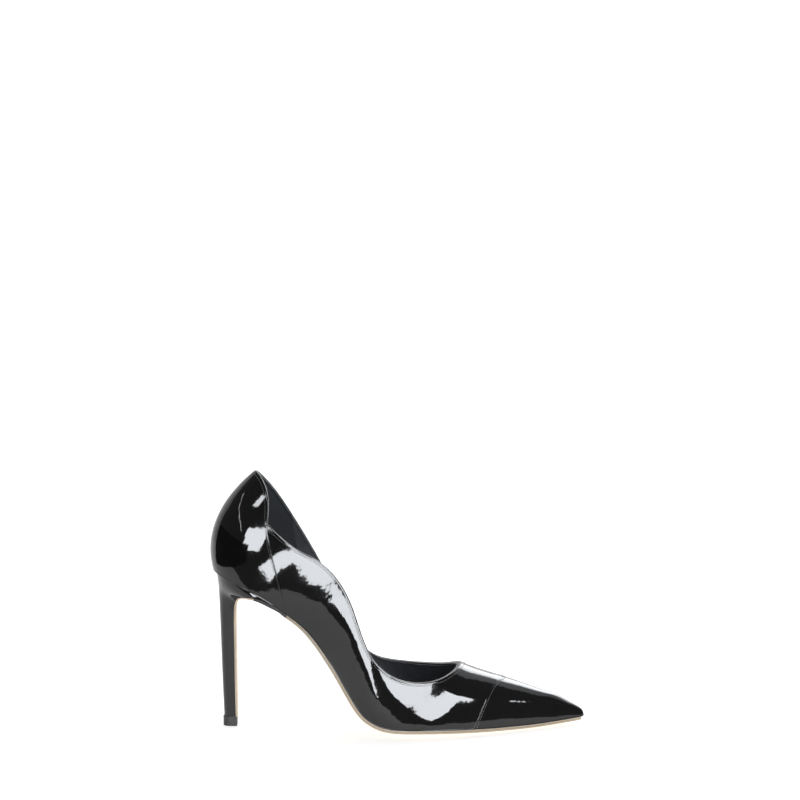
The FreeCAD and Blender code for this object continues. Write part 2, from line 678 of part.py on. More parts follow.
def value_of(formula):
    names = {alias: size(alias) for alias, _, _ in SIZES}
    total = 0.0
    for term in formula.replace("-", "+-").split("+"):
        factor, _, divisor = term.partition("/")
        sign = -1.0 if factor.strip().startswith("-") else 1.0
        total += sign * names[factor.strip(" -").replace("sizes.", "")] / float(divisor or 1)
    return total


def stepped_profile(body, name, steps, base=None):
    """Half outline of a turned part, bottom up, as (radius, height) steps bound to the sheet."""
    sketch = new_sketch(body, name, "XZ_Plane")
    low = value_of(base) if base else 0.0
    points = [(0.0, low)]
    for radius, height in steps:
        r, up = value_of(radius), value_of(height)
        points += [(r, points[-1][1]), (r, points[-1][1] + up)]
    points.append((0.0, points[-1][1]))
    count = len(points)
    for a, b in zip(points, points[1:] + points[:1]):
        sketch.addGeometry(Part.LineSegment(Vector(*a, 0), Vector(*b, 0)), False)
    for i in range(count):
        sketch.addConstraint(Sketcher.Constraint("Coincident", i, 2, (i + 1) % count, 1))
        kind = "Vertical" if i % 2 or i == count - 1 else "Horizontal"
        sketch.addConstraint(Sketcher.Constraint(kind, i))
    if base:
        sketch.addConstraint(Sketcher.Constraint("PointOnObject", 0, 1, -2))
        bind(sketch, Sketcher.Constraint("DistanceY", -1, 1, 0, 1, low), "base", base)
    else:
        sketch.addConstraint(Sketcher.Constraint("Coincident", 0, 1, -1, 1))
    for k, (radius, height) in enumerate(steps):
        side = 2 * k + 1
        bind(sketch, Sketcher.Constraint("DistanceX", -1, 1, side, 1, value_of(radius)), f"radius{k}", radius)
        bind(sketch, Sketcher.Constraint("DistanceY", side, 1, side, 2, value_of(height)), f"height{k}", height)
    return sketch


def turned(name, steps):
    body = doc.addObject("PartDesign::Body", name)
    sketch = stepped_profile(body, name + "_profile", steps)
    spin = body.newObject("PartDesign::Revolution", name + "_turn")
    spin.Profile = sketch
    spin.ReferenceAxis = (sketch, ["V_Axis"])
    spin.Angle = 360
    doc.recompute()
    return body


def tube_body():
    body = doc.addObject("PartDesign::Body", "heel_tube")
    sketch = new_sketch(body, "heel_tube_ring", "XY_Plane")
    for k, formula in enumerate(("sizes.tube_diameter", "sizes.tube_bore")):
        sketch.addGeometry(Part.Circle(Vector(), Vector(0, 0, 1), value_of(formula) / 2), False)
        sketch.addConstraint(Sketcher.Constraint("Coincident", k, 3, -1, 1))
        bind(sketch, Sketcher.Constraint("Diameter", k, value_of(formula)), f"diameter{k}", formula)
    pad = body.newObject("PartDesign::Pad", "heel_tube_pad")
    pad.Profile = sketch
    pad.setExpression("Length", "sizes.tube_length")
    doc.recompute()
    return body


def top_piece_body():
    """D-shaped wear piece with a flat front, moulded round the head of its pin."""
    body = doc.addObject("PartDesign::Body", "top_piece")
    sketch = new_sketch(body, "top_piece_outline", "XY_Plane")
    half = size("top_piece_width") / 2
    front, mid = size("top_piece_length") - half, 0.0
    sketch.addGeometry(Part.LineSegment(Vector(mid, -half, 0), Vector(front, -half, 0)), False)
    sketch.addGeometry(Part.LineSegment(Vector(front, -half, 0), Vector(front, half, 0)), False)
    sketch.addGeometry(Part.LineSegment(Vector(front, half, 0), Vector(mid, half, 0)), False)
    round_back = Part.Circle(Vector(), Vector(0, 0, 1), half)
    sketch.addGeometry(Part.ArcOfCircle(round_back, math.pi / 2, 3 * math.pi / 2), False)
    for a, b in ((0, 1), (1, 2)):
        sketch.addConstraint(Sketcher.Constraint("Coincident", a, 2, b, 1))
    sketch.addConstraint(Sketcher.Constraint("Tangent", 2, 2, 3, 1))
    sketch.addConstraint(Sketcher.Constraint("Tangent", 3, 2, 0, 1))
    sketch.addConstraint(Sketcher.Constraint("Horizontal", 0))
    sketch.addConstraint(Sketcher.Constraint("Vertical", 1))
    sketch.addConstraint(Sketcher.Constraint("Coincident", 3, 3, -1, 1))
    bind(sketch, Sketcher.Constraint("Radius", 3, half), "half_width", "sizes.top_piece_width / 2")
    reach = "sizes.top_piece_length - sizes.top_piece_width / 2"
    bind(sketch, Sketcher.Constraint("DistanceX", -1, 1, 1, 1, value_of(reach)), "reach", reach)
    pad = body.newObject("PartDesign::Pad", "top_piece_pad")
    pad.Profile = sketch
    pad.setExpression("Length", "sizes.top_piece_height")
    doc.recompute()
    before = body.Shape.Volume
    above_head = "sizes.top_piece_height - sizes.dowel_floor - sizes.dowel_head_height"
    steps = [("sizes.dowel_head / 2", "sizes.dowel_head_height"), ("sizes.tube_bore / 2", above_head)]
    socket = stepped_profile(body, "pin_socket", steps, base="sizes.dowel_floor")
    groove = body.newObject("PartDesign::Groove", "pin_groove")
    groove.Profile = socket
    groove.ReferenceAxis = (socket, ["V_Axis"])
    groove.Angle = 360
    doc.recompute()
    if not body.Shape.Volume < before:
        raise RuntimeError("the pin socket removed nothing")
    return body


def placed(base, axis=Vector(0, 0, 1)):
    return FreeCAD.Placement(base, Rotation(Vector(0, 0, 1), axis))


def copy_at(shape, placement):
    moved = shape.copy()
    moved.Placement = placement
    return moved


def on_insole(x, y):
    """Point on the insole board's upper face and the axis into it."""
    x = along(x)
    normal = bottom_normal(x)
    return on_bottom(x, y) - normal * INSOLE_TOP, normal


stem_x = along(STEM_AXIS)
BODIES = {}
BODIES["top_piece"] = (top_piece_body(), placed(Vector(stem_x, 0, 0)))
BODIES["top_piece_pin"] = (
    turned(
        "top_piece_pin",
        [
            ("sizes.dowel_head / 2", "sizes.dowel_head_height"),
            ("sizes.tube_bore / 2 - sizes.pin_gap", "sizes.dowel_length"),
        ],
    ),
    placed(Vector(stem_x, 0, size("dowel_floor"))),
)
BODIES["heel_tube"] = (tube_body(), placed(Vector(stem_x, 0, size("top_piece_height"))))

screw_x = along(SCREW_AXIS)
head_edge, _ = on_insole(SCREW_AXIS + size("screw_head") / 2, 0)
screw_tip = Vector(screw_x, 0, head_edge.z - size("screw_head_height") - size("screw_length"))
screw = turned(
    "heel_screw",
    [("sizes.screw_diameter / 2", "sizes.screw_length"), ("sizes.screw_head / 2", "sizes.screw_head_height")],
)
BODIES["heel_screw"] = (screw, placed(screw_tip))

nail = turned(
    "nail", [("sizes.nail_diameter / 2", "sizes.nail_length"), ("sizes.nail_head / 2", "sizes.nail_head_height")]
)
nail_spots = []
for x, y in NAILS:
    top, axis = on_insole(x, y)
    nail_spots.append(placed(top - axis * (size("nail_length") + size("nail_head_height")), axis))
SHAPES["heel_nails"] = Part.Compound([copy_at(nail.Shape, spot) for spot in nail_spots])

rivet = turned(
    "rivet",
    [
        ("sizes.rivet_head / 2", "sizes.rivet_head_height"),
        ("sizes.rivet_diameter / 2", "sizes.insole_thickness + sizes.shank_thickness"),
    ],
)
rivet_spots = []
for x in RIVETS:
    top, axis = on_insole(x, 0)
    depth = size("insole_thickness") + size("shank_thickness") + size("rivet_head_height")
    rivet_spots.append(placed(top - axis * depth, axis))
SHAPES["shank_rivets"] = Part.Compound([copy_at(rivet.Shape, spot) for spot in rivet_spots])

# ---------------------------------------------------------------- boards, filler, shank and pads
SHAPES["insole_board"] = bottom_layer(MARGIN, MARGIN_TOP, INSOLE_TOP)
SHAPES["foam_cushion"] = bottom_layer(MARGIN + size("fit_gap"), INSOLE_TOP, CUSHION_TOP)
SHAPES["sock_lining"] = bottom_layer(MARGIN + size("fit_gap"), CUSHION_TOP, SOCK_TOP)

half_shank = size("shank_width") / 2
strip = box(along(SHANK_BACK), along(SHANK_FRONT), -half_shank, half_shank, FLOOR, 160)
upright = [e for e in strip.Edges if abs(e.tangentAt(e.FirstParameter).z) > 0.9]
strip = strip.makeFillet(half_shank * 0.98, upright)
shank_low = MARGIN_TOP + size("shank_thickness")
SHAPES["steel_shank"] = strip.common(over_level(shank_low)).cut(over_level(MARGIN_TOP))
filler = plan_prism(size("margin_width") + size("fit_gap")).cut(over_level(MARGIN_TOP))
SHAPES["cork_filler"] = filler.common(over_level(MARGIN_LOW)).cut(SHAPES["steel_shank"])


def drilled(names, tools):
    for name in names:
        SHAPES[name] = SHAPES[name].cut(Part.Compound(tools))


def recess(spot, radius, start, reach):
    """Room for a head, from a height along the fastener's axis upward."""
    well = Part.makeCylinder(radius, reach, Vector(0, 0, start))
    well.Placement = spot.multiply(well.Placement)
    return well


screw_cut = [copy_at(screw.Shape, placed(screw_tip))]
screw_cut.append(recess(placed(screw_tip), size("screw_head") / 2, size("screw_length"), 8.0))
tube_cut = Part.makeCylinder(size("tube_diameter") / 2, size("tube_length") + 1, Vector(stem_x, 0, 5))
nail_cut = list(SHAPES["heel_nails"].Solids)
nail_cut += [recess(spot, size("nail_head") / 2, size("nail_length"), 3.0) for spot in nail_spots]
rivet_cut = list(SHAPES["shank_rivets"].Solids)

drilled(["heel_core", "insole_board", "cork_filler"], screw_cut)
drilled(["heel_core"], [tube_cut])
drilled(["heel_core", "insole_board", "counter_panel", "heel_stiffener", "heel_lining"], nail_cut)
drilled(["insole_board", "steel_shank", "cork_filler"], rivet_cut)

# ---------------------------------------------------------------- the document's sub-parts
GROUPS = {"heel_nails": len(NAILS), "shank_rivets": len(RIVETS)}


def add_feature(name, shape):
    feature = doc.addObject("Part::Feature", name)
    solids = shape.Solids if name in GROUPS else [largest(shape)]
    feature.Shape = Part.Compound(solids) if name in GROUPS else solids[0]
    return feature, FreeCAD.Placement()


PARTS = {name: add_feature(name, shape) for name, shape in SHAPES.items()}
PARTS.update(BODIES)
outline = FreeCAD.BoundBox()
for name in ("toe_cap", "vamp", "counter_panel"):
    outline.add(PARTS[name][0].Shape.optimalBoundingBox(False, False))
to_origin = Vector(-outline.Center.x, -outline.Center.y, 0)
for name, (part, placement) in PARTS.items():
    part.Label = name
    part.Placement = FreeCAD.Placement(placement.Base + to_origin, placement.Rotation)
doc.recompute()

for obj in doc.Objects:
    if "Invalid" in obj.State or "Error" in obj.State:
        raise RuntimeError(f"{obj.Name} failed: {obj.State}")
for name, (part, _) in PARTS.items():
    expected = GROUPS.get(name, 1)
    if part.Shape.isNull() or not part.Shape.isValid() or len(part.Shape.Solids) != expected:
        raise RuntimeError(f"{name} is not {expected} valid solid(s)")

os.makedirs("parts", exist_ok=True)
for name, (part, _) in PARTS.items():
    part.Shape.exportStep(f"parts/{name}.step")
    print(f"{name:16s} {part.Shape.Volume:9.1f} mm3  {len(part.Shape.Faces)} faces")
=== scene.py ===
# %% [markdown]
# # A black patent pump, dressed over its CAD frame
# The shoe was modelled as leathers, boards, a heel and a sole, each its own solid. This lesson keeps
# every one of those places and gives each visible part the surface that a shoemaker would: turned edges,
# stitch rows, a rolled feather edge, an inked sole edge and a mirror-bright film on the leather.
#
# All lengths are metres, with x to the toe, y to the inner side of the foot and z up.

# %% The frame
import json
import math

import bmesh
import bpy
from mathutils import Matrix, Vector
from mathutils.bvhtree import BVHTree


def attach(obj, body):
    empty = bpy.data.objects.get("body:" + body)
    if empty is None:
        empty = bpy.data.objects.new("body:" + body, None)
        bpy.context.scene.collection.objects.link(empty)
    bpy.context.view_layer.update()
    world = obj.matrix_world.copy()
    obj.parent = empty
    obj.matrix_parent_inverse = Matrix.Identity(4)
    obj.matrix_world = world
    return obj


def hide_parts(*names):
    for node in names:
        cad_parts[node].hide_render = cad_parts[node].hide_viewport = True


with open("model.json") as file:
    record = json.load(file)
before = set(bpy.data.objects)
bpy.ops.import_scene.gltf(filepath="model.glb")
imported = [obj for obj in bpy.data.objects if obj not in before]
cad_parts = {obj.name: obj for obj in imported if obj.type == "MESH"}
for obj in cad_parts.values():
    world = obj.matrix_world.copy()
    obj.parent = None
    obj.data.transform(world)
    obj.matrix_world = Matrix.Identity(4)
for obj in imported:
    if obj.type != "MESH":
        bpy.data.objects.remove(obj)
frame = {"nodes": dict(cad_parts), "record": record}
bpy.context.view_layer.update()
MM = 0.001
TINY = 1e-9  # keeps a division from being by zero

# %% [markdown]
# ## Reading the panels
# The frame's solids arrive as loose triangles. A copy whose doubles are merged knows which triangles are
# neighbours, so it can be shaded smoothly across its curved faces and kept crisp along its cut edges. The
# cut edges are also what the trimmings follow, so they are found here once instead of being drawn a
# second time.

# %% Welded copies with hard edges
WELD = 0.001 * MM
CREASE = math.radians(32)  # faces that meet more sharply than this meet in a hard edge


def welded(node):
    """A CAD node's mesh with its doubles merged and its cut edges marked hard."""
    work = bmesh.new()
    work.from_mesh(frame["nodes"][node].data)
    bmesh.ops.remove_doubles(work, verts=work.verts, dist=WELD)
    bmesh.ops.dissolve_degenerate(work, dist=WELD, edges=work.edges)
    for face in work.faces:
        face.smooth = True
    for edge in work.edges:
        edge.smooth = edge.is_manifold and edge.calc_face_angle(0.0) < CREASE
    return work


def add_piece(name, mesh, material, slot, *nodes):
    """Makes a mesh a piece of the shoe that stands for the CAD nodes named."""
    piece = bpy.data.objects.new(name, mesh)
    bpy.context.scene.collection.objects.link(piece)
    mesh.materials.clear()
    mesh.materials.append(material)
    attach(piece, "root")
    if nodes:
        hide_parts(*nodes)
    return piece


def mesh_of(work, name):
    """A plain mesh of a welded copy, without the CAD's own normals."""
    mesh = bpy.data.meshes.new(name)
    for layer in list(work.loops.layers.float_vector.values()):
        work.loops.layers.float_vector.remove(layer)
    work.to_mesh(mesh)
    if "custom_normal" in mesh.attributes:
        mesh.attributes.remove(mesh.attributes["custom_normal"])
    return mesh


# %% Finding a panel's outside and the edges round it
SMALL_SHARE = 0.2  # a region smaller than this share of the biggest one is only a cut edge


def smooth_regions(work):
    """Groups of faces that meet without a hard edge, largest first."""
    todo, regions = set(work.faces), []
    while todo:
        seed = todo.pop()
        region, stack = [seed], [seed]
        while stack:
            for edge in stack.pop().edges:
                for other in edge.link_faces if edge.smooth else ():
                    if other in todo:
                        todo.discard(other)
                        region.append(other)
                        stack.append(other)
        regions.append(region)
    return sorted(regions, key=lambda r: -sum(f.calc_area() for f in r))


def wall(work):
    """The big region of a panel that faces away from the foot."""
    regions = smooth_regions(work)
    biggest = sum(f.calc_area() for f in regions[0])
    for region in regions:
        if sum(f.calc_area() for f in region) < SMALL_SHARE * biggest:
            break
        if sum(f.calc_area() * f.normal.y * f.calc_center_median().y for f in region) > 0:
            return set(region)
    return set(regions[0])


def tree_of(work, faces=None):
    """A search tree over some faces of a welded copy, or over all of them."""
    points = [v.co.copy() for v in work.verts]
    work.verts.index_update()
    chosen = faces if faces is not None else work.faces
    return BVHTree.FromPolygons(points, [[v.index for v in f.verts] for f in chosen])


def path_length(path):
    return sum((b - a).length for a, b in zip(path, path[1:]))


def chain(edges):
    """Orders loose edges into runs of points, longest first."""
    links = {}
    for edge in edges:
        a, b = edge.verts
        links.setdefault(a, []).append(b)
        links.setdefault(b, []).append(a)
    runs, used = [], set()
    for start in sorted(links, key=lambda v: (len(links[v]), v.index)):
        if start in used:
            continue
        run, here = [start], start
        used.add(start)
        while True:
            ahead = [v for v in links[here] if v not in used]
            if not ahead:
                break
            here = ahead[0]
            used.add(here)
            run.append(here)
        if len(run) > 2:
            runs.append([v.co.copy() for v in run])
    return sorted(runs, key=lambda r: -path_length(r))


def rim_edges(work, faces, keep):
    """Edges round a region whose middle, and the face past the edge, pass a test."""
    found = []
    for edge in work.edges:
        inside = [f for f in edge.link_faces if f in faces]
        outside = [f for f in edge.link_faces if f not in faces]
        middle = (edge.verts[0].co + edge.verts[1].co) / 2
        if len(inside) == 1 and outside and keep(middle, outside[0].normal):
            found.append(edge)
    return found


def resampled(points, step, closed=False):
    """The same path with points a step apart."""
    path = points + [points[0]] if closed else points
    lengths = [0.0]
    for a, b in zip(path, path[1:]):
        lengths.append(lengths[-1] + (b - a).length)
    count = max(2, round(lengths[-1] / step))
    made, k = [], 0
    for i in range(count if closed else count + 1):
        target = lengths[-1] * i / count
        while k < len(path) - 2 and lengths[k + 1] < target:
            k += 1
        share = (target - lengths[k]) / max(lengths[k + 1] - lengths[k], TINY)
        made.append(path[k].lerp(path[k + 1], min(max(share, 0.0), 1.0)))
    return made


def eased(points, rounds, closed=False):
    """A path with the small steps of its triangles smoothed away."""
    last = len(points) - 1
    for _ in range(rounds):
        made = []
        for i, point in enumerate(points):
            if not closed and i in (0, last):
                made.append(point)
            else:
                made.append(point * 0.5 + (points[i - 1] + points[(i + 1) % (last + 1)]) * 0.25)
        points = made
    return points


# %% The shoe's own panels and their edges
PANELS = ("toe_cap", "vamp", "counter_panel")
OTHERS = ("vamp_lining", "heel_lining", "sock_lining", "heel_cover", "outsole", "top_piece")
works = {node: welded(node) for node in PANELS + OTHERS}
walls = {node: wall(works[node]) for node in PANELS + ("heel_cover",)}
trees = {node: tree_of(works[node]) for node in PANELS}
outside_trees = {node: tree_of(works[node], walls[node]) for node in walls}
UNDER = -0.3  # a face whose normal points lower than this belongs to the underside
CAP_UNDER = -0.8  # the cap's seam is followed further round, over steeper faces
SEAM = 0.2 * MM  # an edge that is nearer than this to another panel is a seam
TOPLINE_STEP = 0.7  # millimetres between the topline's points


def near(node, point):
    return trees[node].find_nearest(point, SEAM)[0] is not None


def runs_round(node, keep):
    """The runs of a panel's outside edge that pass a test, longest first."""
    return chain(rim_edges(works[node], walls[node], keep))


def mouth_run(node, others):
    """The longest run of a panel's edge that is no seam: its share of the shoe's mouth."""
    return runs_round(node, lambda p, n: n.z > UNDER and not any(near(o, p) for o in others))[0]


vamp_mouth = mouth_run("vamp", ("toe_cap", "counter_panel"))
counter_mouth = mouth_run("counter_panel", ("vamp",))
if (vamp_mouth[-1] - counter_mouth[0]).length > (vamp_mouth[-1] - counter_mouth[-1]).length:
    counter_mouth.reverse()
topline = resampled(vamp_mouth + counter_mouth, TOPLINE_STEP * MM, closed=True)
topline = eased(topline, 2, closed=True)
cap_seam = runs_round("toe_cap", lambda p, n: near("vamp", p) and n.z > CAP_UNDER)[0]
back_seams = runs_round("counter_panel", lambda p, n: near("vamp", p))[:2]
for edge_name, run in zip(("cap seam", "outer back seam", "inner back seam"), (cap_seam, *back_seams)):
    print(edge_name, round(path_length(run) / MM), "mm")
print("topline", round(len(topline) * TOPLINE_STEP), "mm")

# %% [markdown]
# ## Finishes
# Three effects are used by more than one finish, so each is a node group with its own values in every
# material: the slow waviness of a lacquered film, the pebbled grain of leather, and the fine dust that
# settles on anything black. The shader itself stays in the material, and its plain numbers sit on its own
# sockets.

# %% Node group helpers
def group(name, inputs, outputs):
    """An empty node group with named number sockets, and its two end nodes."""
    tree = bpy.data.node_groups.new(name, "ShaderNodeTree")
    for socket, value in inputs:
        made = tree.interface.new_socket(socket, in_out="INPUT", socket_type="NodeSocketFloat")
        made.default_value = value
    for socket in outputs:
        tree.interface.new_socket(socket, in_out="OUTPUT", socket_type="NodeSocketFloat")
    return tree, tree.nodes.new("NodeGroupInput"), tree.nodes.new("NodeGroupOutput")


def noise(tree, coordinates, scale, detail=2.0, roughness=0.5):
    node = tree.nodes.new("ShaderNodeTexNoise")
    node.inputs["Detail"].default_value = detail
    node.inputs["Roughness"].default_value = roughness
    tree.links.new(coordinates, node.inputs["Vector"])
    if isinstance(scale, float):
        node.inputs["Scale"].default_value = scale
    else:
        tree.links.new(scale, node.inputs["Scale"])
    return node.outputs["Fac"]


def arithmetic(tree, operation, a, b):
    node = tree.nodes.new("ShaderNodeMath")
    node.operation = operation
    for socket, value in zip(node.inputs, (a, b)):
        if isinstance(value, float):
            socket.default_value = value
        else:
            tree.links.new(value, socket)
    return node.outputs[0]


def ramp(tree, factor, stops):
    """Grey levels at places from 0 to 1, with a straight change between them."""
    node = tree.nodes.new("ShaderNodeValToRGB")
    elements = node.color_ramp.elements
    elements[0].position, elements[1].position = stops[0][0], stops[-1][0]
    middle = [elements.new(place) for place, _ in stops[1:-1]]
    for element, (_, value) in zip([elements[0], *middle, elements[-1]], stops):
        element.color = (value, value, value, 1.0)
    tree.links.new(factor, node.inputs["Fac"])
    return node.outputs["Color"]


# %% Film waviness, leather grain and dust
def object_coordinates(tree):
    return tree.nodes.new("ShaderNodeTexCoord").outputs["Object"]


def make_film_group():
    """Height of a lacquered film: slow waves from the leather, small dimples and a faint orange peel."""
    inputs = [
        ("Wave Scale", 45.0),
        ("Dimple Scale", 260.0),
        ("Dimples", 0.06),
        ("Peel Scale", 1100.0),
        ("Peel", 0.003),
    ]
    tree, given, result = group("film", inputs, ["Height"])
    place = object_coordinates(tree)
    height = noise(tree, place, given.outputs["Wave Scale"], 0.0)
    for layer, scale in (("Dimples", "Dimple Scale"), ("Peel", "Peel Scale")):
        pattern = noise(tree, place, given.outputs[scale], 1.0)
        part = arithmetic(tree, "MULTIPLY", pattern, given.outputs[layer])
        height = arithmetic(tree, "ADD", height, part)
    tree.links.new(height, result.inputs["Height"])
    return tree


def make_grain_group():
    """Height and shade of leather grain: cells with soft creases, over slow unevenness."""
    tree, given, result = group("grain", [("Scale", 1400.0), ("Unevenness", 0.35)], ["Height", "Shade"])
    place = object_coordinates(tree)
    cells = tree.nodes.new("ShaderNodeTexVoronoi")
    cells.feature = "SMOOTH_F1"
    cells.inputs["Smoothness"].default_value = 0.6
    tree.links.new(place, cells.inputs["Vector"])
    tree.links.new(given.outputs["Scale"], cells.inputs["Scale"])
    slow = arithmetic(tree, "MULTIPLY", noise(tree, place, 120.0, 4.0), given.outputs["Unevenness"])
    tree.links.new(arithmetic(tree, "ADD", cells.outputs["Distance"], slow), result.inputs["Height"])
    half = arithmetic(tree, "MULTIPLY", cells.outputs["Distance"], 0.5)
    shade = arithmetic(tree, "ADD", half, slow)
    tree.links.new(shade, result.inputs["Shade"])
    return tree


def make_dust_group():
    """A mask of specks: 1 on a speck of dust, 0 between."""
    tree, given, result = group("dust", [("Scale", 420.0), ("Amount", 0.045)], ["Mask"])
    cells = tree.nodes.new("ShaderNodeTexVoronoi")
    tree.links.new(object_coordinates(tree), cells.inputs["Vector"])
    tree.links.new(given.outputs["Scale"], cells.inputs["Scale"])
    speck = arithmetic(tree, "LESS_THAN", cells.outputs["Distance"], given.outputs["Amount"])
    tree.links.new(speck, result.inputs["Mask"])
    return tree


GROUPS = {"film": make_film_group(), "grain": make_grain_group(), "dust": make_dust_group()}
print("shared effects:", ", ".join(GROUPS))

# %% Material helpers
def new_material(name, **values):
    """A material whose plain numbers are set on the shader's own sockets."""
    material = bpy.data.materials.new(name)
    material.use_nodes = True
    tree = material.node_tree
    shader = tree.nodes["Principled BSDF"]
    for socket, value in values.items():
        key = socket.replace("_", " ")
        shader.inputs[key].default_value = (*value, 1.0) if isinstance(value, tuple) else value
    return material, tree, shader


def use_group(tree, name, **values):
    node = tree.nodes.new("ShaderNodeGroup")
    node.node_tree = GROUPS[name]
    for socket, value in values.items():
        node.inputs[socket.replace("_", " ")].default_value = value
    return node.outputs


def add_bump(tree, shader, height, strength, distance):
    bump = tree.nodes.new("ShaderNodeBump")
    bump.inputs["Strength"].default_value = strength
    bump.inputs["Distance"].default_value = distance
    tree.links.new(height, bump.inputs["Height"])
    tree.links.new(bump.outputs["Normal"], shader.inputs["Normal"])


def mix(tree, factor, a, b):
    node = tree.nodes.new("ShaderNodeMix")
    node.data_type = "RGBA"
    for socket, value in ((node.inputs[0], factor), (node.inputs[6], a), (node.inputs[7], b)):
        if isinstance(value, tuple):
            socket.default_value = (*value, 1.0)
        elif isinstance(value, float):
            socket.default_value = value
        else:
            tree.links.new(value, socket)
    return node.outputs[2]


# %% Patent leather
PATENT_BLACK = (0.009, 0.009, 0.0095)
DUST_GREY = (0.03, 0.03, 0.032)


def patent(name, wave, distance):
    """Black leather under a clear mirror film, with a little dust on it."""
    material, tree, shader = new_material(name, Roughness=0.055, IOR=1.5)
    dust = use_group(tree, "dust", Scale=330.0, Amount=0.03)["Mask"]
    tree.links.new(mix(tree, dust, PATENT_BLACK, DUST_GREY), shader.inputs["Base Color"])
    film = use_group(tree, "film", Wave_Scale=wave)["Height"]
    add_bump(tree, shader, film, 1.0, distance)
    return material


patent_leather = patent("patent_leather", 55.0, 0.62 * MM)
patent_edge = patent("patent_turned_edge", 160.0, 0.05 * MM)
patent_heel = patent("patent_heel_leather", 60.0, 0.12 * MM)
print("patent finishes:", patent_leather.name, patent_edge.name, patent_heel.name)

# %% Lining leathers
def lining(name, dark, light, scale, roughness, depth):
    """Dull grained leather with a soft sheen."""
    material, tree, shader = new_material(name, Roughness=roughness, Sheen_Weight=0.25, Sheen_Roughness=0.5)
    grain = use_group(tree, "grain", Scale=scale)
    tree.links.new(mix(tree, grain["Shade"], dark, light), shader.inputs["Base Color"])
    add_bump(tree, shader, grain["Height"], 0.6, depth)
    return material


GREY_DARK, GREY_LIGHT = (0.045, 0.047, 0.055), (0.25, 0.26, 0.29)
NAVY_DARK, NAVY_LIGHT = (0.018, 0.026, 0.038), (0.055, 0.072, 0.095)
SOCK_DARK, SOCK_LIGHT = (0.040, 0.043, 0.052), (0.16, 0.17, 0.195)
lining_leather = lining("lining_leather", GREY_DARK, GREY_LIGHT, 1300.0, 0.45, 0.12 * MM)
grip_leather = lining("heel_grip_suede", NAVY_DARK, NAVY_LIGHT, 2600.0, 0.85, 0.16 * MM)
sock_leather = lining("sock_leather", SOCK_DARK, SOCK_LIGHT, 1500.0, 0.45, 0.08 * MM)
print("lining finishes:", lining_leather.name, grip_leather.name, sock_leather.name)

# %% Sole leather with its inked edge
EDGE_PLACE = "edge_place"  # 0 at the sole's upper face, 1 at its tread


def make_sole_leather():
    """Cream leather: inked edge top, painted lip shade where the place is 0, and a painted bevel-shade tan
    line.
    """
    material, tree, shader = new_material("sole_leather", Specular_IOR_Level=0.4)
    grain = use_group(tree, "grain", Scale=2200.0, Unevenness=0.5)
    body = mix(tree, grain["Shade"], (0.78, 0.64, 0.48), (0.90, 0.78, 0.61))
    place = tree.nodes.new("ShaderNodeAttribute")
    place.attribute_name = EDGE_PLACE
    # The near-black is the edge's real ink at its top, and under the heel's lip it is painted shade of the
    # lip. The tan is painted shade of a bevel on the edge.
    ink_and_lip_shade, bevel_shade_tan = (0.035, 0.034, 0.036), (0.33, 0.23, 0.15)
    ink_and_lip_shade_mask = ramp(tree, place.outputs["Fac"], [(0.0, 1.0), (0.14, 1.0), (0.20, 0.0), (1.0, 0.0)])
    # Painted bevel shade: a thin tan band midway down the edge, where the edge's bevel turns away from the
    # light.
    line = ramp(tree, place.outputs["Fac"], [(0.46, 0.0), (0.54, 0.7), (0.62, 0.7), (0.70, 0.0)])
    colour = mix(tree, ink_and_lip_shade_mask, mix(tree, line, body, bevel_shade_tan), ink_and_lip_shade)
    tree.links.new(colour, shader.inputs["Base Color"])
    uneven = arithmetic(tree, "MULTIPLY", grain["Shade"], 0.25)
    rough = arithmetic(tree, "ADD", uneven, 0.36)
    tree.links.new(rough, shader.inputs["Roughness"])
    add_bump(tree, shader, grain["Height"], 0.35, 0.06 * MM)
    return material


sole_leather = make_sole_leather()
print("sole finish:", sole_leather.name)

# %% Rubber, thread and the hidden parts
def plain(name, dark, light, scale, roughness, depth, **more):
    """A finish with grain-sized colour variation."""
    material, tree, shader = new_material(name, Roughness=roughness, **more)
    grain = use_group(tree, "grain", Scale=scale)
    tree.links.new(mix(tree, grain["Shade"], dark, light), shader.inputs["Base Color"])
    add_bump(tree, shader, grain["Height"], 0.5, depth)
    return material


BLACK_RUBBER = (0.010, 0.010, 0.010), (0.028, 0.028, 0.030)
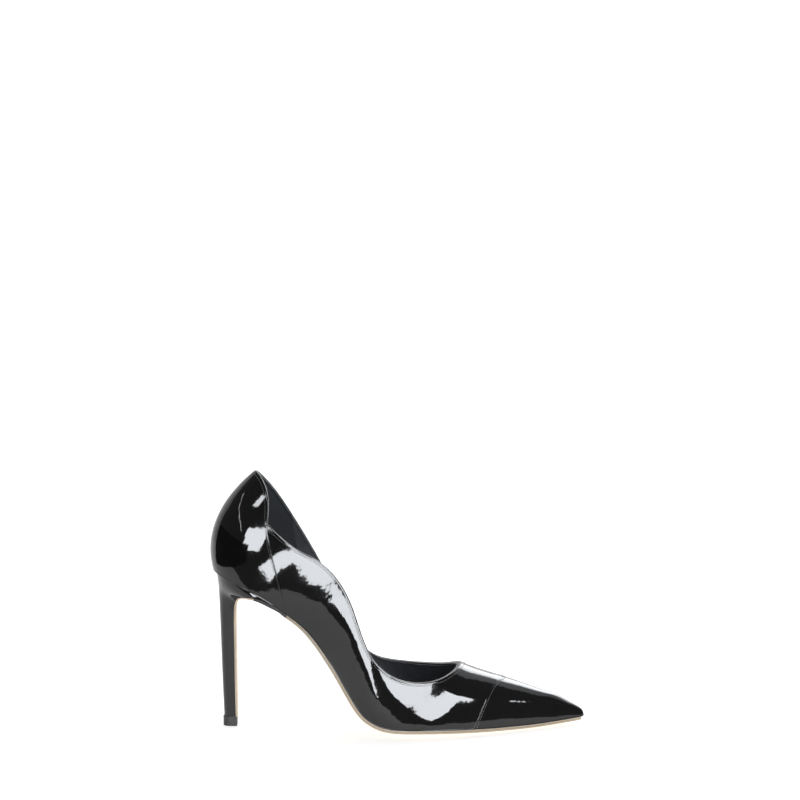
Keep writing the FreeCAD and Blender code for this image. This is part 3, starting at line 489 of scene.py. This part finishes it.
# The thread's light end is a painted glint: light grain-sized patches on the black thread stand for the shine
# of its glossy fibres.
THREAD_WITH_PAINTED_GLINTS = (0.06, 0.06, 0.062), (0.42, 0.42, 0.43)
wear_rubber = plain("wear_rubber", *BLACK_RUBBER, 1800.0, 0.42, 0.05 * MM)
thread = plain("black_thread_painted_glints", *THREAD_WITH_PAINTED_GLINTS, 5000.0, 0.32, 0.03 * MM)
HIDDEN = {
    "board": plain("insole_board", (0.36, 0.28, 0.19), (0.5, 0.41, 0.3), 900.0, 0.85, 0.05 * MM),
    "puff_felt": plain("puff_felt", (0.66, 0.64, 0.6), (0.8, 0.78, 0.72), 1500.0, 0.9, 0.05 * MM),
    "drill": plain("cotton_drill", (0.7, 0.68, 0.62), (0.85, 0.83, 0.78), 2000.0, 0.9, 0.05 * MM),
    "tape": plain("nylon_tape", (0.03, 0.03, 0.03), (0.08, 0.08, 0.08), 2500.0, 0.6, 0.03 * MM),
    "foam": plain("foam_pad", (0.65, 0.6, 0.36), (0.8, 0.76, 0.5), 1200.0, 0.95, 0.1 * MM),
    "cork": plain("cork_filler", (0.3, 0.17, 0.08), (0.55, 0.36, 0.2), 700.0, 0.9, 0.15 * MM),
    "shank_steel": plain(
        "shank_steel", (0.3, 0.3, 0.31), (0.45, 0.45, 0.47), 900.0, 0.4, 0.01 * MM, Metallic=1.0
    ),
    "fastener_steel": plain(
        "bright_steel", (0.5, 0.5, 0.52), (0.6, 0.6, 0.62), 900.0, 0.3, 0.01 * MM, Metallic=1.0
    ),
    "heel_plastic": plain("heel_plastic", (0.78, 0.77, 0.72), (0.88, 0.87, 0.83), 600.0, 0.45, 0.02 * MM),
}
slot_of = {row["node"]: row["material_slot"] for row in frame["record"]["subparts"]}
for node, part in frame["nodes"].items():
    if slot_of[node] in HIDDEN:
        part.data.materials.clear()
        part.data.materials.append(HIDDEN[slot_of[node]])
print("finishes:", len(bpy.data.materials))

# %% [markdown]
# ## Upper, lining and sock
# Patent leather shows every dent in its reflections. A panel could be remeshed or subdivided, but that
# would add dents of its own, so the panels are the CAD's own surfaces, merged and shaded smoothly, and
# nothing is added to them but the film's slow waves. The linings get grain instead, because they are dull
# leather that is only seen through the mouth.

# %% The panels
def add_skin(name, node, material, slot):
    """The welded copy of a CAD node as a piece that stands for it."""
    return add_piece(name, mesh_of(works[node], name), material, slot, node)


for node in PANELS:
    add_skin(node + "_skin", node, patent_leather, "patent_leather")
add_skin("vamp_lining_skin", "vamp_lining", lining_leather, "lining_leather")
add_skin("heel_grip_skin", "heel_lining", grip_leather, "grip_leather")
add_skin("sock_skin", "sock_lining", sock_leather, "sock_leather")
print("skins placed on", ", ".join(PANELS), "and the linings")

# %% [markdown]
# ## Turned edges
# A cut edge of patent leather is skived thin, folded over and glued, which leaves a soft raised band
# about 1.2 mm wide on the outside. It could be a bevel of the panel's own edge, but a bevel follows every
# small step of the triangles. So it is a profile swept along the smoothed edges found above: at every
# point the profile is turned to the wall's own normal, and the band lies on the leather on both sides of
# the shoe.

# %% Sweeping a profile along an edge
SIDE_STEP = 1.5 * MM  # how far to each side of an edge its panel is felt for
FRAME_ROUNDS = 6  # rounds of smoothing that the directions along an edge get


def edge_frames(path, tree, closed=False):
    """Point, wall normal and the direction off the panel's edge, at each point of a path."""
    frames, last = [], len(path) - 1
    for i, point in enumerate(path):
        before = path[i - 1] if closed or i else point
        after = path[(i + 1) % (last + 1)] if closed or i < last else point
        tangent = (after - before).normalized()
        normal = tree.find_nearest(point)[1].copy()
        off = tangent.cross(normal).normalized()
        gap_one_way = tree.find_nearest(point + off * SIDE_STEP)[3]
        gap_other_way = tree.find_nearest(point - off * SIDE_STEP)[3]
        frames.append((point, normal, -off if gap_one_way < gap_other_way else off))
    points, normals, offs = zip(*frames)
    normals = [n.normalized() for n in eased(normals, FRAME_ROUNDS, closed)]
    offs = eased(offs, FRAME_ROUNDS, closed)
    return [(p, n, (o - n * o.dot(n)).normalized()) for p, n, o in zip(points, normals, offs)]


def sweep(name, frames, profile, closed):
    """A closed profile of (outward, off the edge) offsets in millimetres, carried along the frames."""
    work = bmesh.new()
    rings = []
    for point, normal, off in frames:
        rings.append([work.verts.new(point + normal * out * MM + off * up * MM) for out, up in profile])
    pairs = list(zip(rings, rings[1:]))
    if closed:
        pairs.append((rings[-1], rings[0]))
    count = len(profile)
    for a, b in pairs:
        for k in range(count):
            work.faces.new((a[k], a[(k + 1) % count], b[(k + 1) % count], b[k]))
    if not closed:
        work.faces.new(rings[0])
        work.faces.new(rings[-1][::-1])
    for face in work.faces:
        face.smooth = len(face.verts) == 4
    bmesh.ops.recalc_face_normals(work, faces=work.faces)
    mesh = bpy.data.meshes.new(name)
    work.to_mesh(mesh)
    work.free()
    return mesh


def add_trim(name, frames, profile, material, slot, closed=False):
    """A swept trimming that stands for no CAD node of its own."""
    return add_piece(name, sweep(name, frames, profile, closed), material, slot)


# %% The folded topline
def joined_tree(nodes):
    """One search tree over the outsides of several panels."""
    points, faces = [], []
    for node in nodes:
        start = len(points)
        points += [v.co.copy() for v in works[node].verts]
        faces += [[v.index + start for v in f.verts] for f in walls[node]]
    return BVHTree.FromPolygons(points, faces)


upper_tree = joined_tree(PANELS)
FOLD_FACE = [(-0.02, -1.15), (0.04, -0.95), (0.07, -0.55), (0.07, -0.15)]
FOLD_TOP = [(0.01, 0.10), (-0.20, 0.24), (-0.50, 0.30), (-0.95, 0.33), (-1.35, 0.20)]
FOLD_BACK = [(-1.58, -0.02), (-1.62, -0.40), (-1.0, -0.90)]
FOLD = FOLD_FACE + FOLD_TOP + FOLD_BACK
LIP_TOP = [(-1.5, -0.5), (-1.56, -0.1), (-1.8, 0.1), (-2.15, 0.16), (-2.5, 0.08)]
LINING_LIP = LIP_TOP + [(-2.72, -0.15), (-2.72, -0.6)]
top_frames = edge_frames(topline, upper_tree, closed=True)
add_trim("topline_fold", top_frames, FOLD, patent_edge, "patent_leather", closed=True)
add_trim("lining_lip", top_frames, LINING_LIP, lining_leather, "lining_leather", closed=True)
print("topline fold", len(top_frames), "sections")

# %% Seam folds, feather roll and heel rim
SEAM_STEP = 0.8 * MM
SHORTEST_ROLL = 15 * MM  # a shorter run is only a corner between two panels
SEAM_FOLD_FACE = [(-0.02, -0.9), (0.07, -0.7), (0.12, -0.35), (0.11, -0.05)]
SEAM_FOLD = SEAM_FOLD_FACE + [(0.04, 0.14), (-0.10, 0.20), (-0.3, 0.05), (-0.3, -0.6)]


def round_profile(radius, out, up, sides):
    """A round profile, in millimetres, whose middle is a little inside the edge that it follows."""
    turns = [2 * math.pi * k / sides for k in range(sides)]
    return [(radius * math.cos(turn) + out, radius * math.sin(turn) + up) for turn in turns]


def seam_frames(run, node):
    """The frames along a run of a panel's edge."""
    return edge_frames(eased(resampled(run, SEAM_STEP), 2), outside_trees[node])


ROLL = round_profile(0.45, -0.32, -0.12, 12)
cap_frames = seam_frames(cap_seam, "toe_cap")
add_trim("cap_seam_fold", cap_frames, SEAM_FOLD, patent_edge, "patent_leather")
back_frames = {side: seam_frames(run, "counter_panel") for side, run in zip(("outer", "inner"), back_seams)}
for side, frames in back_frames.items():
    add_trim(f"back_seam_fold_{side}", frames, SEAM_FOLD, patent_edge, "patent_leather")
for node in PANELS:
    for k, run in enumerate(runs_round(node, lambda p, n: n.z <= UNDER)):
        if path_length(run) > SHORTEST_ROLL:
            add_trim(f"feather_roll_{node}_{k}", seam_frames(run, node), ROLL, patent_edge, "patent_leather")
            print("feather roll", node, k, round(path_length(run) / MM), "mm")

# %% [markdown]
# ## Stitches
# A stitch row is one small thread repeated every 1.7 mm. Bump in the leather would draw it too, but it
# would look flat from the side. Repeating along a path is what Geometry Nodes are for: the row's line is
# a curve, the tree puts a rounded stitch on it at each step, turned along the line, and the stitches
# become real faces at the end so that they can be exported.

# %% The stitch tree
STITCH_SIZES = {"Pitch": 1.7 * MM, "Stitch Length": 1.25 * MM, "Thread Radius": 0.17 * MM}


def make_stitch_tree():
    """A rounded stitch at each step of a line, in thread."""
    tree = bpy.data.node_groups.new("stitch_row", "GeometryNodeTree")
    tree.interface.new_socket("Line", in_out="INPUT", socket_type="NodeSocketGeometry")
    for name in STITCH_SIZES:
        tree.interface.new_socket(name, in_out="INPUT", socket_type="NodeSocketFloat")
    tree.interface.new_socket("Stitches", in_out="OUTPUT", socket_type="NodeSocketGeometry")
    given, result = tree.nodes.new("NodeGroupInput"), tree.nodes.new("NodeGroupOutput")

    def node(kind, mode=None, **links):
        made = tree.nodes.new(kind)
        if mode:
            made.mode = mode
        for key, value in links.items():
            target = made.inputs[key.replace("_", " ")]
            if isinstance(value, bpy.types.NodeSocket):
                tree.links.new(value, target)
            else:
                target.default_value = value
        return made

    line = node("GeometryNodeMeshToCurve", Mesh=given.outputs["Line"]).outputs["Curve"]
    spaced = node("GeometryNodeResampleCurve", mode="LENGTH", Curve=line, Length=given.outputs["Pitch"])
    bead = node("GeometryNodeMeshUVSphere", Segments=8, Rings=6, Radius=1.0)
    half = node("ShaderNodeMath")
    half.operation = "MULTIPLY"
    tree.links.new(given.outputs["Stitch Length"], half.inputs[0])
    half.inputs[1].default_value = 0.5
    radius = given.outputs["Thread Radius"]
    size = node("ShaderNodeCombineXYZ", X=radius, Y=radius, Z=half.outputs[0])
    stitch = node("GeometryNodeTransform", Geometry=bead.outputs["Mesh"], Scale=size.outputs["Vector"])
    tangent = node("GeometryNodeInputTangent")
    turned = node("FunctionNodeAlignRotationToVector", Vector=tangent.outputs["Tangent"])
    turned.axis = "Z"
    row = node("GeometryNodeInstanceOnPoints", Points=spaced.outputs["Curve"])
    tree.links.new(stitch.outputs["Geometry"], row.inputs["Instance"])
    tree.links.new(turned.outputs["Rotation"], row.inputs["Rotation"])
    real = node("GeometryNodeRealizeInstances", Geometry=row.outputs["Instances"])
    smooth = node("GeometryNodeSetShadeSmooth", Geometry=real.outputs["Geometry"])
    finish = node("GeometryNodeSetMaterial", Geometry=smooth.outputs["Geometry"])
    finish.inputs["Material"].default_value = thread
    tree.links.new(finish.outputs["Geometry"], result.inputs["Stitches"])
    return tree


STITCHES = make_stitch_tree()
print("stitch tree:", len(STITCHES.nodes), "nodes, sizes", ", ".join(STITCH_SIZES))


# %% Stitch rows
def stitch_row(name, path, closed=False):
    """Runs the stitch tree along a path and keeps the plain mesh."""
    line = bpy.data.meshes.new(name + "_line")
    last = len(path) - 1
    edges = [(i, i + 1) for i in range(last)]
    if closed:
        edges.append((last, 0))
    line.from_pydata([tuple(p) for p in path], edges, [])
    row = bpy.data.objects.new(name, line)
    bpy.context.scene.collection.objects.link(row)
    modifier = row.modifiers.new("stitches", "NODES")
    modifier.node_group = STITCHES
    for item in STITCHES.interface.items_tree:
        if item.name in STITCH_SIZES:
            modifier[item.identifier] = STITCH_SIZES[item.name]
    evaluated = row.evaluated_get(bpy.context.evaluated_depsgraph_get())
    mesh = bpy.data.meshes.new_from_object(evaluated)
    row.modifiers.clear()
    row.data = mesh
    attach(row, "root")
    return row


STITCH_IN = 1.75 * MM  # from the topline to its row
SEAM_IN = 1.35 * MM  # from a seam's edge to its row
THREAD_LIFT = 0.1 * MM  # how far the middle of the thread is above the leather
SEAM_STITCHES_END = 0.103  # the back seams are stitched down to this height and only cemented below it


def beside(frames, distance, tree, closed=False):
    """A path on the panel, a distance in from its edge."""
    path = []
    for point, _, off in frames:
        place, normal, _, _ = tree.find_nearest(point - off * distance)
        path.append(place + normal * THREAD_LIFT)
    return eased(path, 3, closed)


rows = [
    stitch_row("topline_stitches", beside(top_frames, STITCH_IN, upper_tree, closed=True), closed=True),
    stitch_row("cap_stitches", beside(cap_frames, SEAM_IN, outside_trees["toe_cap"])),
]
for side, frames in back_frames.items():
    path = [p for p in beside(frames, SEAM_IN, outside_trees["counter_panel"]) if p.z > SEAM_STITCHES_END]
    rows.append(stitch_row(f"back_seam_stitches_{side}", path))
print("stitch rows:", len(rows), "with", sum(len(r.data.polygons) for r in rows), "faces")

# %% [markdown]
# ## Sole, heel and wear piece
# The sole's edge is cream leather with its upper seventh inked black, so that it disappears under the
# upper. Under the heel's lip the same near-black runs all the way down, as painted shade of the lip. A
# painted image would need a flat layout of the edge. Instead an attribute that runs from 0 at the upper face
# to 1 at the tread lets the material draw that band anywhere round the edge, and also a thin tan line lower
# down that is painted shade of the edge's bevel.

# %% The sole
LIP_SHADE_FROM, LIP_SHADE_TO = -0.089, -0.0685  # along the shoe, the edge under the heel's lip is painted near-black all the way down, as painted shade of the lip


def make_sole():
    """The sole with its place-down-the-edge attribute."""
    work = works["outsole"]
    place = work.loops.layers.float.new(EDGE_PLACE)
    upper, tread = sorted(smooth_regions(work)[:2], key=lambda r: -sum(f.normal.z * f.calc_area() for f in r))
    tread_faces = set(tread)
    above, below = tree_of(work, upper), tree_of(work, tread)
    for face in work.faces:
        # Under the heel's lip the attribute is 0 all the way down, so the whole edge there is painted
        # near-black as shade of the lip.
        in_lip_shade = LIP_SHADE_FROM < face.calc_center_median().x < LIP_SHADE_TO
        for loop in face.loops:
            up, down = (tree.find_nearest(loop.vert.co)[3] for tree in (above, below))
            share = 0.0 if in_lip_shade else up / max(up + down, TINY)
            loop[place] = 1.0 if face in tread_faces else share
    return add_skin("sole", "outsole", sole_leather, "sole_leather")


sole = make_sole()
print("sole", len(sole.data.polygons), "faces")

# %% The heel
SEAT_FACING = 0.3  # a face whose normal points higher than this belongs to the heel's seat
HEEL_ROLL = round_profile(0.3, -0.2, -0.1, 10)
add_skin("heel_skin", "heel_cover", patent_heel, "patent_heel")
heel_rim = runs_round("heel_cover", lambda p, n: n.z > SEAT_FACING)[0]
add_trim("heel_rim_0", seam_frames(heel_rim, "heel_cover"), HEEL_ROLL, patent_heel, "patent_heel")
print("heel rim", round(path_length(heel_rim) / MM), "mm")

# %% The wear piece
wear_piece = add_skin("wear_piece", "top_piece", wear_rubber, "wear_rubber")
soften = wear_piece.modifiers.new("worn edge", "BEVEL")
soften.width = 0.3 * MM
soften.segments = 3
soften.limit_method = "ANGLE"
soften.angle_limit = math.radians(40)
print("wear piece, worn edge", round(soften.width / MM, 2), "mm")

# %% [markdown]
# ## Studio floor
# The shoe stands on pale paper that curves up into a backdrop. A mirror shows what is round it, so the
# paper's near edge matters: it ends a little in front of the shoe, and the upper half of the leather
# mirrors the dark room instead of the paper. The paper glows a little by itself, so that it stays pale
# without strong lamps on the shoe.

# %% Floor and backdrop
NEAR_EDGE = -0.23  # the paper ends here, so the upper half of the shoe mirrors the dark room in front of it


FAR_EDGE = 1.6  # where the paper starts to curve up
HALF_WIDTH, CURVE, RISE = 6.0, 0.9, 3.0
CURVE_STEPS = 12
PAPER, GLOW = (0.9, 0.9, 0.9), (1.0, 1.0, 1.0)


def make_floor():
    """One strip of paper across the room, flat and then curving up."""
    paper = new_material(
        "studio_paper", Roughness=0.9, Base_Color=PAPER, Emission_Color=GLOW, Emission_Strength=0.55
    )[0]
    profile = [(NEAR_EDGE, 0.0), (FAR_EDGE, 0.0)]
    for k in range(1, CURVE_STEPS + 1):
        turn = math.pi / 2 * k / CURVE_STEPS
        profile.append((FAR_EDGE + CURVE * math.sin(turn), CURVE * (1 - math.cos(turn))))
    profile.append((FAR_EDGE + CURVE, RISE))
    mesh = bpy.data.meshes.new("studio_floor")
    points = [(x, y, z) for y, z in profile for x in (-HALF_WIDTH, HALF_WIDTH)]
    strips = [(2 * k, 2 * k + 1, 2 * k + 3, 2 * k + 2) for k in range(len(profile) - 1)]
    mesh.from_pydata(points, [], strips)
    mesh.materials.append(paper)
    for face in mesh.polygons:
        face.use_smooth = True
    floor = bpy.data.objects.new("studio_floor", mesh)
    bpy.context.scene.collection.objects.link(floor)
    print("floor:", len(strips), "strips")


make_floor()

# %% [markdown]
# ## Lamps
# Black patent leather has almost no light of its own: its shape shows only as the reflections of long
# lamps. A lamp is therefore placed by the panel that should mirror it, along the direction that the
# mirrored view goes, and its length is given as two such directions. These lamps are seen by reflections
# alone. Dull surfaces, such as the sole and the linings, get their light from one soft wash that no
# reflection sees, so each can be set by itself.

# %% Lamp helpers
MIRRORED_TINT, WASH_TINT = (0.93, 0.96, 1.0), (1.0, 1.0, 1.0)


def direction(azimuth, elevation):
    """A unit vector from degrees: azimuth 0 is straight out from the outer side, and grows towards the toe."""
    a, e = math.radians(azimuth), math.radians(elevation)
    return Vector((math.sin(a) * math.cos(e), -math.cos(a) * math.cos(e), math.sin(e)))


def softbox(name, panel, low_end, high_end, distance, width, brightness, mirrored=True):
    """A long lamp between two directions from a panel, as bright all over as its number says."""
    start, end = (Vector(panel) + direction(*way) * distance for way in (low_end, high_end))
    light = bpy.data.lights.new(name, "AREA")
    light.shape = "RECTANGLE"
    light.size, light.size_y = width, (end - start).length
    light.energy = brightness * math.pi * light.size * light.size_y
    light.color = MIRRORED_TINT if mirrored else WASH_TINT
    middle = (start + end) / 2
    back = (middle - Vector(panel)).normalized()
    side = (end - start).cross(back).normalized()
    lamp = bpy.data.objects.new(name, light)
    lamp.matrix_world = Matrix((side, back.cross(side), back)).transposed().to_4x4()
    lamp.location = middle
    lamp.visible_camera = False
    lamp.visible_glossy, lamp.visible_diffuse = mirrored, not mirrored
    bpy.context.scene.collection.objects.link(lamp)


# %% Lamps
COUNTER = (-0.088, -0.023, 0.122)
WING = (-0.045, -0.025, 0.09)
VAMP = (0.025, -0.031, 0.023)
TOE = (0.07, -0.008, 0.025)
softbox("counter_light", COUNTER, (-26.2, 0.3), (-21.8, 15.7), 1.0, 0.50, 19.0)
softbox("counter_top_light", COUNTER, (-45, 38), (-43, 48), 1.0, 0.12, 16.0)
softbox("counter_line_light", COUNTER, (-46, 17), (-92, 43), 1.0, 0.008, 14.0)
softbox("wing_light", WING, (-15.0, -15.0), (3.0, 1.0), 0.27, 0.045, 19.0)
softbox("vamp_light", VAMP, (9, 8), (49, 47), 1.0, 0.22, 19.0)
softbox("toe_line_light", TOE, (63, 36.5), (65, 39.5), 1.0, 0.02, 14.0)
softbox("ridge_light", TOE, (145, 26), (145, 42), 1.4, 1.1, 1.0)
softbox("ridge_soft_light", TOE, (135, 26), (135, 57), 1.45, 1.5, 0.9)
softbox("back_light", COUNTER, (150, 10), (150, 36), 1.2, 0.45, 5.0)
softbox("wash", (0.0, 0.9, 0.0), (0, 56), (180, 56), 2.6, 3.6, 1.3, mirrored=False)

# %% [markdown]
# ## Flag and room
# A black card, a flag, hides from a mirror what shouldn't show in it. This one stands behind the heel and
# keeps the paper out of the counter's side. The room round the set is dim grey in every reflection, but
# white where it is seen past the paper, as a lit backdrop would be. The plain view transform keeps white
# paper white.

# %% A dark flag beside the counter
FLAG_X = -0.30
FLAG_NEAR, FLAG_FAR = -0.42, 0.06
FLAG_LOW, FLAG_HIGH = 0.05, 0.17
FLAG_BLACK = (0.01, 0.01, 0.01)


def make_flag():
    """A black card seen by nothing but reflections."""
    cloth = new_material("flag_cloth", Roughness=1.0, Base_Color=FLAG_BLACK, Specular_IOR_Level=0.0)[0]
    mesh = bpy.data.meshes.new("flag")
    bottom = [(FLAG_X, FLAG_NEAR, FLAG_LOW), (FLAG_X, FLAG_FAR, FLAG_LOW)]
    top = [(FLAG_X, FLAG_FAR, FLAG_HIGH), (FLAG_X, FLAG_NEAR, FLAG_HIGH)]
    mesh.from_pydata(bottom + top, [], [(0, 1, 2, 3)])
    mesh.materials.append(cloth)
    flag = bpy.data.objects.new("flag", mesh)
    bpy.context.scene.collection.objects.link(flag)
    for kind in ("visible_camera", "visible_diffuse", "visible_shadow"):
        setattr(flag, kind, False)
    print("flag:", round(FLAG_FAR - FLAG_NEAR, 2), "m long")


make_flag()

# %% The room
ROOM_GREY, SEEN_WHITE = (0.13, 0.13, 0.13), (1.0, 1.0, 1.0)
world = bpy.data.worlds.new("studio")
bpy.context.scene.world = world
world.use_nodes = True
room = world.node_tree.nodes["Background"]
light_path = world.node_tree.nodes.new("ShaderNodeLightPath")
shade = mix(world.node_tree, light_path.outputs["Is Camera Ray"], ROOM_GREY, SEEN_WHITE)
world.node_tree.links.new(shade, room.inputs["Color"])
bpy.context.scene.view_settings.view_transform = "Standard"
print("room:", ROOM_GREY, "in reflections,", SEEN_WHITE, "where it is seen")

# %% [markdown]
# ## Camera
# A long lens from one and a half metres away keeps the shoe's proportions. It stands a little above the
# shoe, in front of its outer side, and looks slightly down.

# %% Camera
LENS, SENSOR = 115.0, 36.0
CAMERA_PLACE = (0.00125, -1.56504, 0.4123)
LOOKS_DOWN = 7.525  # degrees
camera = bpy.data.objects.new("camera", bpy.data.cameras.new("camera"))
camera.data.lens = LENS
camera.data.sensor_width = SENSOR
camera.location = CAMERA_PLACE
camera.rotation_euler = (math.radians(90 - LOOKS_DOWN), 0.0, 0.0)
bpy.context.scene.collection.objects.link(camera)
bpy.context.scene.camera = camera
print("camera:", LENS, "mm lens, looking down", LOOKS_DOWN, "degrees")

# %% The end
bpy.context.view_layer.update()
